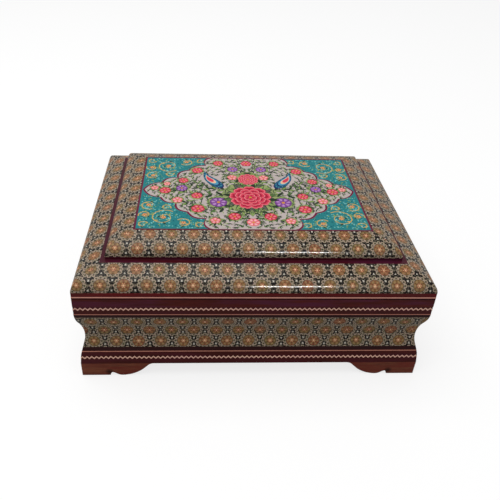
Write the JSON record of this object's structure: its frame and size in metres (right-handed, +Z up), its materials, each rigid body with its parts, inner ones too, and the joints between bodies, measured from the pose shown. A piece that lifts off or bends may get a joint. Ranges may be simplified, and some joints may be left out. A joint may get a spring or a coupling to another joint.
{
  "type": "marquetry storage box",
  "caption": "Rectangular hinged wooden box on bracket feet, hollow-sided and covered in geometric marquetry, with a raised painted lid panel; holds a book.",
  "frame": {"origin": "centre of the footprint on the table", "axes": "+X along the length, +Y towards the hinges, +Z up"},
  "size_m": [0.27, 0.202, 0.1136],
  "materials": {
    "core_wood": "varnished",
    "marquetry": "gloss lacquer over inlay",
    "purple_wood": "gloss lacquer",
    "dark_wood": "gloss lacquer",
    "crimson_wood": "gloss lacquer",
    "pale_line": "gloss lacquer",
    "pale_wood": "gloss lacquer",
    "foot_wood": "varnished",
    "painted_panel": "gloss lacquer over paint",
    "velvet": "pile",
    "brass": "polished"
  },
  "bodies": {
    "box": {"body_marquetry_back": "marquetry", "body_marquetry_front": "marquetry", "body_marquetry_left": "marquetry", "body_marquetry_right": "marquetry", "body_rim_strip": "purple_wood", "bottom_board": "core_wood", "foot_back_left": "foot_wood", "foot_back_right": "foot_wood", "foot_front_left": "foot_wood", "foot_front_right": "foot_wood", "foot_left_back": "foot_wood", "foot_left_front": "foot_wood", "foot_right_back": "foot_wood", "foot_right_front": "foot_wood", "hinge_body_leaf_left": "brass", "hinge_body_leaf_right": "brass", "hinge_pin_left": "brass", "hinge_pin_right": "brass", "lining_back": "velvet", "lining_floor": "velvet", "lining_front": "velvet", "lining_left": "velvet", "lining_right": "velvet", "lower_dark_strip": "dark_wood", "lower_light_line": "pale_line", "lower_mid_strip": "dark_wood", "lower_zigzag": "pale_wood", "lower_zigzag_ground": "dark_wood", "upper_dark_strip": "dark_wood", "upper_light_line": "pale_line", "upper_zigzag": "pale_wood", "upper_zigzag_ground": "dark_wood", "wall_back": "core_wood", "wall_front": "core_wood", "wall_left": "core_wood", "wall_right": "core_wood"},
    "lid": {"border_marquetry_back": "marquetry", "border_marquetry_front": "marquetry", "border_marquetry_left": "marquetry", "border_marquetry_right": "marquetry", "hinge_lid_leaf_left": "brass", "hinge_lid_leaf_right": "brass", "ledge_strip": "crimson_wood", "lid_frame_back": "core_wood", "lid_frame_front": "core_wood", "lid_frame_left": "core_wood", "lid_frame_right": "core_wood", "lid_light_line": "pale_line", "lid_lining": "velvet", "lid_lining_sides": "velvet", "lid_rim_strip": "crimson_wood", "picture_panel": "painted_panel", "picture_stringing": "crimson_wood", "raised_panel": "core_wood", "skirt_marquetry_back": "marquetry", "skirt_marquetry_front": "marquetry", "skirt_marquetry_left": "marquetry", "skirt_marquetry_right": "marquetry"}
  },
  "joints": [
    {"name": "lid_hinge", "type": "hinge", "parent": "box", "child": "lid", "pos_m": [0, 0.0993, 0.081], "axis": [-1, 0, 0], "range_deg": [0, 100]}
  ]
}
